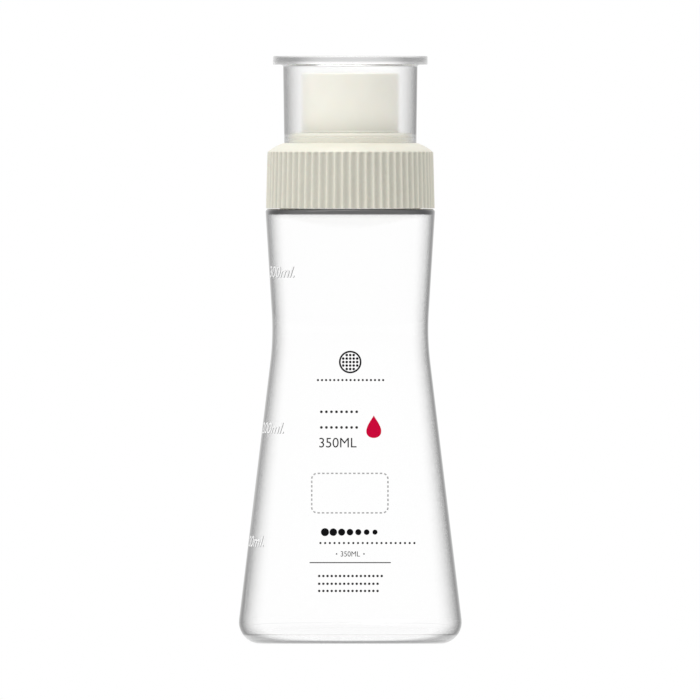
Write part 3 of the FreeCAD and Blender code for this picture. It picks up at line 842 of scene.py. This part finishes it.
class SHAKER_OT_cap(Operator):
    """Build the clear cap with its gripping land, tapered wall and flanged roof"""

    bl_idname = "shaker.cap"
    bl_label = "Clear Cap"

    def execute(self, context):
        shaker = context.scene.shaker
        cap = shaker.cap
        ceiling = cap.top - cap.roof
        land_top = cap.foot + cap.land_height
        under = cap.top - cap.flange
        outline = rounded([
            (0.0, ceiling, 0.0),
            (cap.throat_radius - cap.wall, ceiling, cap.inner_rounding),
            (cap.base_radius - cap.wall, land_top + cap.land_step, 0.0),
            (cap.land_radius, land_top, 0.0),
            (cap.land_radius, cap.foot, 0.0002),
            (cap.base_radius, cap.foot, 0.0002),
            (cap.throat_radius, under, cap.throat_rounding),
            (cap.flange_radius, under, 0.25 * cap.flange_rounding),
            (cap.flange_radius, cap.top, 0.75 * cap.flange_rounding),
            (0.0, cap.top, 0.0),
        ])
        # Painted shade on bands of the cap, each shading one zone its own way: the gripping foot, the flange's
        # underside, the flange and the flange's top edge.
        bands = ((cap.foot - 0.001, land_top + 0.001, 0.0002, CAP_FOOT_SHADING),
                 (under - 0.0006, cap.top + 0.001, 0.0002, FLANGE_FOOT_SHADING),
                 (under + 0.0009, cap.top + 0.001, 0.0002, FLANGE_SHADING),
                 (cap.top - 0.0003, cap.top + 0.001, 0.0002, FLANGE_TOP_SHADING))
        clear = kept_finish("cap_plastic", clear_finish, CAP_SHADING, 0.14, 0.08, bands)
        put(mark_outside(spin("clear_cap", outline, 300)), "cap", clear, "dust_cap")
        return {"FINISHED"}


class Artwork:
    """Flat printed shapes, drawn in metres across and up, that are then laid on the bottle's wall."""

    def __init__(self):
        self.sheet = bmesh.new()

    def fill(self, corners):
        """A filled shape with these (across, up) corners."""
        self.sheet.faces.new([self.sheet.verts.new((x, 0.0, z)) for x, z in corners])

    def disc(self, x, z, radius, sides=24):
        """A round dot."""
        self.fill([(x + radius * math.cos(math.tau * side / sides),
                    z + radius * math.sin(math.tau * side / sides)) for side in range(sides)])

    def line(self, points, width, closed=False):
        """A line of even width through (across, up) points."""
        edges = []
        for place, (x, z) in enumerate(points):
            back = points[place - 1] if place or closed else (x, z)
            ahead = points[(place + 1) % len(points)] if place + 1 < len(points) or closed else (x, z)
            run = Vector((ahead[0] - back[0], ahead[1] - back[1])).normalized() * width / 2
            edges.append((self.sheet.verts.new((x - run.y, 0.0, z + run.x)),
                          self.sheet.verts.new((x + run.y, 0.0, z - run.x))))
        pairs = list(zip(edges, edges[1:])) + ([(edges[-1], edges[0])] if closed else [])
        for (left, right), (next_left, next_right) in pairs:
            self.sheet.faces.new((left, right, next_right, next_left))

    def number(self, words, low, high, slant=0.0, weight=0.0):
        """Digits and their unit, stretched to fill the box between two (across, up) corners."""
        curve = bpy.data.curves.new("digits", "FONT")
        curve.body = words
        curve.shear = slant
        curve.offset = weight
        curve.resolution_u = 8
        holder = bpy.data.objects.new("digits", curve)
        bpy.context.scene.collection.objects.link(holder)
        bpy.context.view_layer.update()
        drawn = holder.evaluated_get(bpy.context.evaluated_depsgraph_get())
        mesh = bpy.data.meshes.new_from_object(drawn)
        left = min(vertex.co.x for vertex in mesh.vertices)
        right = max(vertex.co.x for vertex in mesh.vertices)
        foot = min(vertex.co.y for vertex in mesh.vertices)
        head = max(vertex.co.y for vertex in mesh.vertices)
        for vertex in mesh.vertices:
            x = low[0] + (high[0] - low[0]) * (vertex.co.x - left) / (right - left)
            z = low[1] + (high[1] - low[1]) * (vertex.co.y - foot) / (head - foot)
            vertex.co = (x, 0.0, z)
        self.sheet.from_mesh(mesh)
        bpy.data.objects.remove(holder)
        bpy.data.curves.remove(curve)
        bpy.data.meshes.remove(mesh)

    def lay(self, name, bottle, ink, round_wall=False, gap=0.000004, film=0.000012):
        """Cut the shapes finely, bend them round the wall as a thin film of ink, and place them.

        Plain artwork keeps its width as seen from the front; round_wall measures it along the wall
        from the front's middle instead.
        """
        sheet = self.sheet
        bmesh.ops.remove_doubles(sheet, verts=sheet.verts, dist=1e-7)
        across = [vertex.co.x for vertex in sheet.verts]
        heights = [vertex.co.z for vertex in sheet.verts]
        for axis, low, high, step in ((0, min(across), max(across), 0.0008),
                                      (2, min(heights), max(heights), 0.0015)):
            normal = [0.0, 0.0, 0.0]
            normal[axis] = 1.0
            for cut in range(math.ceil(low / step), math.floor(high / step) + 1):
                place = [part * cut * step for part in normal]
                bmesh.ops.bisect_plane(sheet, geom=sheet.verts[:] + sheet.edges[:] + sheet.faces[:],
                                       dist=1e-8, plane_co=place, plane_no=normal)
        bmesh.ops.recalc_face_normals(sheet, faces=sheet.faces)
        top = bmesh.ops.extrude_face_region(sheet, geom=sheet.faces[:])
        for part in top["geom"]:
            if isinstance(part, bmesh.types.BMVert):
                part.co.y = film
        for vertex in sheet.verts:
            base = wall_radius(bottle, vertex.co.z)
            angle = vertex.co.x / base if round_wall else math.asin(vertex.co.x / base)
            radius = base + gap + vertex.co.y
            vertex.co = (radius * math.sin(angle), -radius * math.cos(angle), vertex.co.z)
        bmesh.ops.recalc_face_normals(sheet, faces=sheet.faces)
        mesh = bpy.data.meshes.new(name)
        sheet.to_mesh(mesh)
        sheet.free()
        return put(mesh, "bottle", ink)


def ink_finish(name, colour):
    """Screen-printed ink, slightly uneven, that leaves no double image inside the clear wall; the same finish
    carries the grey painted shadow beside the volume marks.
    """
    def make(name):
        material = opaque_finish(name, colour, 0.5, spread=0.04, scale=900.0, depth=0.000002,
                                 Specular_IOR_Level=0.05)
        nodes, links = material.node_tree.nodes, material.node_tree.links
        path = add_node(nodes, "ShaderNodeLightPath")
        unseen = add_node(nodes, "ShaderNodeBsdfTransparent")
        choice = add_node(nodes, "ShaderNodeMixShader")
        mirrored = add_node(nodes, "ShaderNodeMath", {1: 0.5}, operation="GREATER_THAN")
        links.new(path.outputs["Glossy Depth"], mirrored.inputs[0])
        links.new(mirrored.outputs["Value"], choice.inputs["Fac"])
        links.new(nodes["Principled BSDF"].outputs["BSDF"], choice.inputs[1])
        links.new(unseen.outputs["BSDF"], choice.inputs[2])
        links.new(choice.outputs["Shader"], nodes["Material Output"].inputs["Surface"])
        return material
    return kept_finish(name, make)


def rounded_box(low, high, rounding, steps=8):
    """Points round a rectangle with rounded corners."""
    points = []
    for place, (x, z) in enumerate(((high[0], high[1]), (low[0], high[1]), (low[0], low[1]), (high[0], low[1]))):
        middle = (x - math.copysign(rounding, x - (low[0] + high[0]) / 2),
                  z - math.copysign(rounding, z - (low[1] + high[1]) / 2))
        for step in range(steps + 1):
            angle = math.pi / 2 * (place + step / steps)
            points.append((middle[0] + rounding * math.cos(angle), middle[1] + rounding * math.sin(angle)))
    return points


def dashes(points, dash, space):
    """Short runs along a closed line, evenly spaced."""
    closed = points + points[:1]
    lengths = [math.dist(a, b) for a, b in zip(closed, closed[1:])]
    total = sum(lengths)
    count = round(total / (dash + space))

    def at(length):
        length %= total
        for (a, b), run in zip(zip(closed, closed[1:]), lengths):
            if length <= run:
                part = length / run
                return (a[0] + (b[0] - a[0]) * part, a[1] + (b[1] - a[1]) * part)
            length -= run
        return closed[-1]

    share_of_dash = dash / (dash + space)
    for number in range(count):
        start = total * number / count
        yield [at(start + total / count * share_of_dash * part / 4) for part in range(5)]


class SHAKER_OT_front_print(Operator):
    """Print the front: sieve badge, capacity, drop, writing box, bold dots and fine lines"""

    bl_idname = "shaker.front_print"
    bl_label = "Front Print"

    def execute(self, context):
        shaker = context.scene.shaker
        bottle, finishes = shaker.bottle, shaker.finishes

        badge = Artwork()
        middle, size = (-0.00003, 0.0906), 0.00335
        badge.line([(middle[0] + size * math.cos(math.tau * step / 64),
                     middle[1] + size * math.sin(math.tau * step / 64)) for step in range(64)], 0.00055, True)
        for row in range(-2, 3):
            for column in range(-2, 3):
                if row * row + column * column < 6:
                    badge.disc(middle[0] + column * 0.00112, middle[1] + row * 0.00112, 0.00042)
        for place in range(7):
            badge.disc(-0.00815 + place * 0.00268, 0.0359, 0.0013 - 0.00008 * place, 32)
        badge.lay("badge_and_bold_dots", bottle, ink_finish("dark_ink", finishes.dark_ink))

        fine = Artwork()
        fine.number("350ML", (-0.0100, 0.0631), (0.0020, 0.06625))
        for row in (0.06957, 0.0746):
            for place in range(8):
                fine.disc(-0.0093 + place * 0.00162, row, 0.00044)
        for place in range(17):
            fine.disc(-0.0104 + place * 0.00131, 0.0848, 0.00036, 16)
        for place in range(21):
            fine.disc(-0.0096 + place * 0.00151, 0.0324, 0.00036, 16)
        fine.number("350ML", (-0.0031, 0.02805), (0.0031, 0.02975))
        fine.disc(-0.0044, 0.0289, 0.00025, 16)
        fine.disc(0.0044, 0.0289, 0.00025, 16)
        for row, count in ((0.0218, 16), (0.0193, 15), (0.017, 15)):
            for place in range(count):
                fine.disc(-0.0100 + place * 0.00134, row, 0.0004, 16)
        fine.line([(-0.0131, 0.0261), (0.01305, 0.0261)], 0.00032)
        fine.lay("numbers_and_fine_lines", bottle, ink_finish("grey_ink", finishes.grey_ink))

        drop = Artwork()
        centre, width, height = 0.00754, 0.00476, 0.0073
        outline = []
        for step in range(48):
            turn = math.tau * step / 48
            outline.append((centre + width * 0.71 * math.sin(turn) * abs(math.sin(turn / 2)) ** 1.4,
                            0.06982 + height / 2 * math.cos(turn)))
        drop.fill(outline)
        drop.lay("printed_drop", bottle, ink_finish("red_ink", finishes.red_ink))

        box = Artwork()
        frame_line = rounded_box((-0.0124, 0.0421), (0.0121, 0.0548), 0.0018)
        for run in dashes(frame_line, 0.0008, 0.00062):
            box.line(run, 0.00046)
        box.lay("writing_box", bottle, ink_finish("pale_ink", finishes.pale_ink))
        return {"FINISHED"}


class SHAKER_OT_volume_marks(Operator):
    """Print the slanted white volume marks round the left side, each with a grey painted shadow beside it"""

    bl_idname = "shaker.volume_marks"
    bl_label = "Volume Marks"

    def execute(self, context):
        shaker = context.scene.shaker
        bottle, finishes = shaker.bottle, shaker.finishes
        # First a grey copy shifted right and down, a painted shadow, then the white marks over it.
        for name, colour, shift, gap in (("mark_shade", finishes.mark_shade, 0.00026, 0.000002),
                                         ("white_ink", finishes.white_ink, 0.0, 0.000012)):
            marks = Artwork()
            for words, foot, right in (("300ml.", 0.1178, -0.0200), ("200ml.", 0.0676, -0.0244),
                                       ("100ml.", 0.0312, -0.0334)):
                marks.number(words, (right - 0.0172 + shift, foot - shift / 3),
                             (right + shift, foot + 0.0036 - shift / 3), slant=0.35, weight=0.012)
            marks.lay("volume_" + name, bottle, ink_finish(name, colour), round_wall=True, gap=gap, film=0.000008)
        return {"FINISHED"}


def seen_directly(nodes, links, straight=1.0, mirrored=1.0, through=1.0):
    """A level for rays from the camera, from a reflection or through clear plastic, else 0."""
    path = add_node(nodes, "ShaderNodeLightPath")
    total = None
    for ray, level in (("Is Camera Ray", straight), ("Is Glossy Ray", mirrored), ("Is Transmission Ray", through)):
        part = add_node(nodes, "ShaderNodeMath", {1: level}, operation="MULTIPLY")
        links.new(path.outputs[ray], part.inputs[0])
        if total is None:
            total = part.outputs["Value"]
            continue
        highest = add_node(nodes, "ShaderNodeMath", operation="MAXIMUM")
        links.new(total, highest.inputs[0])
        links.new(part.outputs["Value"], highest.inputs[1])
        total = highest.outputs["Value"]
    return total


def pale_floor(tone_of_floor):
    """Plain pale floor that is near white to the eye, keeps shadows, and is open from below."""
    material, nodes, links, shader = blank_finish("pale_floor")
    shader.inputs["Base Color"].default_value = (*tone_of_floor, 1)
    shader.inputs["Roughness"].default_value = 0.7
    shader.inputs["Specular IOR Level"].default_value = 0.2
    white = add_node(nodes, "ShaderNodeEmission", {"Color": (1, 1, 1, 1), "Strength": 1.0})
    lifted = add_node(nodes, "ShaderNodeMixShader")
    links.new(seen_directly(nodes, links, 0.6, 0.8, 0.95), lifted.inputs["Fac"])
    links.new(shader.outputs["BSDF"], lifted.inputs[1])
    links.new(white.outputs["Emission"], lifted.inputs[2])
    side = add_node(nodes, "ShaderNodeNewGeometry")
    below = add_node(nodes, "ShaderNodeBsdfTransparent")
    sided = add_node(nodes, "ShaderNodeMixShader")
    links.new(side.outputs["Backfacing"], sided.inputs["Fac"])
    links.new(lifted.outputs["Shader"], sided.inputs[1])
    links.new(below.outputs["BSDF"], sided.inputs[2])
    links.new(sided.outputs["Shader"], nodes["Material Output"].inputs["Surface"])
    return material


def soft_lamp(name, place, target, size, power):
    """A square soft lamp aimed at a point."""
    lamp = bpy.data.lights.new(name, "AREA")
    lamp.size = size
    lamp.energy = power
    holder = bpy.data.objects.new(name, lamp)
    holder.location = place
    holder.rotation_euler = (Vector(target) - Vector(place)).to_track_quat("-Z", "Y").to_euler()
    bpy.context.scene.collection.objects.link(holder)
    return holder


class SHAKER_OT_stage(Operator):
    """Set the floor, the plain soft light and the camera"""

    bl_idname = "shaker.stage"
    bl_label = "Stage"

    def execute(self, context):
        scene = context.scene
        stage = scene.shaker.stage
        mesh = bpy.data.meshes.new("floor")
        mesh.from_pydata([(-4, -4, 0), (4, -4, 0), (4, 4, 0), (-4, 4, 0)], [], [(0, 1, 2, 3)])
        mesh.materials.append(pale_floor(stage.floor_tone))
        floor = bpy.data.objects.new("floor", mesh)
        scene.collection.objects.link(floor)

        world = bpy.data.worlds.new("plain_light")
        world.use_nodes = True
        nodes, links = world.node_tree.nodes, world.node_tree.links
        background = nodes["Background"]
        background.inputs["Color"].default_value = (1, 1, 1, 1)
        level = add_node(nodes, "ShaderNodeMapRange", {"To Min": stage.sky, "To Max": 1.0})
        links.new(seen_directly(nodes, links), level.inputs["Value"])
        links.new(level.outputs["Result"], background.inputs["Strength"])
        world.cycles.sampling_method = "NONE"
        scene.world = world

        middle = (0.0, 0.0, 0.1)
        soft_lamp("key_lamp", (-0.7, -0.6, 0.6), middle, 0.5, stage.key_power)
        soft_lamp("top_lamp", (-0.1, -0.15, 1.0), middle, 0.6, stage.top_power)
        rim = soft_lamp("rim_lamp", (-0.45, 0.9, 0.25), middle, 0.35, stage.rim_power)
        rim.visible_transmission = False

        lens = bpy.data.cameras.new("camera")
        lens.type = "ORTHO"
        lens.ortho_scale = stage.view_width
        lens.clip_start, lens.clip_end = 0.01, 20.0
        camera = bpy.data.objects.new("camera", lens)
        camera.location = (-0.0001, -1.0, stage.view_height)
        camera.rotation_euler = (math.pi / 2, 0.0, 0.0)
        scene.collection.objects.link(camera)
        scene.camera = camera
        scene.view_settings.view_transform = "Standard"
        return {"FINISHED"}


OPERATORS = (
    SHAKER_OT_bottle,
    SHAKER_OT_collar,
    SHAKER_OT_spout,
    SHAKER_OT_sieve,
    SHAKER_OT_cap,
    SHAKER_OT_front_print,
    SHAKER_OT_volume_marks,
    SHAKER_OT_stage,
)


class SHAKER_PT_panel(Panel):
    """Lists the shaker's pieces in the sidebar"""

    bl_idname = "SHAKER_PT_panel"
    bl_label = "Spice Shaker"
    bl_space_type = "VIEW_3D"
    bl_region_type = "UI"
    bl_category = "Shaker"

    def draw(self, context):
        for operator in OPERATORS:
            self.layout.operator(operator.bl_idname)


CLASSES = (
    BottleSizes,
    CollarSizes,
    ThreadSizes,
    SpoutSizes,
    CapSizes,
    Finishes,
    StageLook,
    ShakerSettings,
    *OPERATORS,
    SHAKER_PT_panel,
)


def register():
    """Register the classes and hang the settings on the scene."""
    for part in CLASSES:
        bpy.utils.register_class(part)
    bpy.types.Scene.shaker = PointerProperty(type=ShakerSettings)


def unregister():
    """Take the settings and the classes away again."""
    del bpy.types.Scene.shaker
    for part in reversed(CLASSES):
        bpy.utils.unregister_class(part)


def main():
    """Build every piece and the stage."""
    register()
    bpy.ops.shaker.bottle()
    bpy.ops.shaker.collar()
    bpy.ops.shaker.spout()
    bpy.ops.shaker.sieve()
    bpy.ops.shaker.cap()
    bpy.ops.shaker.front_print()
    bpy.ops.shaker.volume_marks()
    bpy.ops.shaker.stage()


if __name__ == "__main__":
    main()
